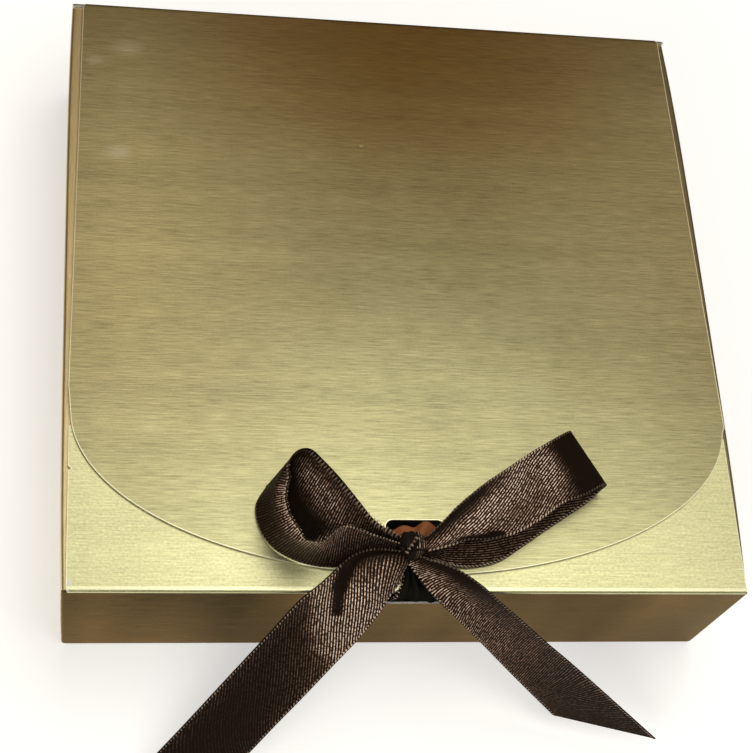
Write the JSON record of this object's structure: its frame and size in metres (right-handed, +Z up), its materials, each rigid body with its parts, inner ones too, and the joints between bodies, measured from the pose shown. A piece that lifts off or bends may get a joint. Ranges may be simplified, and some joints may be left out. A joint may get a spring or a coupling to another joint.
{
  "type": "folding gift carton",
  "caption": "Flat square folding gift carton of thin metallic card, with a curved hinged lid over a front flap and a satin ribbon bow threaded through slots.",
  "frame": {"origin": "centre of the bottom panel's underside, between the side walls and between the front and back walls", "axes": "+Z up through the lid, +Y from the front wall to the hinged back wall, +X to the right as seen from the front"},
  "size_m": [0.2046, 0.2398, 0.0707],
  "materials": {
    "card": "brushed metallic gold foil on white card",
    "ribbon": "dark brown double-faced satin"
  },
  "bodies": {
    "tray": {"bottom_panel": "card", "front_wall": "card", "back_wall": "card", "left_outer_wall": "card", "left_wall_top": "card", "left_inner_wall": "card", "front_left_corner_flap": "card", "back_left_corner_flap": "card", "right_outer_wall": "card", "right_wall_top": "card", "right_inner_wall": "card", "front_right_corner_flap": "card", "back_right_corner_flap": "card", "ribbon_inner_band": "ribbon"},
    "lid": {"lid_panel": "card", "ribbon_knot": "ribbon", "ribbon_left_loop": "ribbon", "ribbon_right_loop": "ribbon", "ribbon_left_tail": "ribbon", "ribbon_right_tail": "ribbon", "ribbon_front_band": "ribbon", "ribbon_rear_band": "ribbon"},
    "flap": {"front_flap": "card"}
  },
  "joints": [
    {"name": "lid_hinge", "type": "hinge", "parent": "tray", "child": "lid", "pos_m": [0, 0.1011, 0.0494], "axis": [-1, 0, 0], "range_deg": [0, 180]},
    {"name": "flap_hinge", "type": "hinge", "parent": "tray", "child": "flap", "pos_m": [0, -0.1, 0.0485], "axis": [1, 0, 0], "range_deg": [0, 90]}
  ],
  "couplings": [
    {"joint": "flap_hinge", "follows": "lid_hinge", "ratio": 0.5}
  ]
}
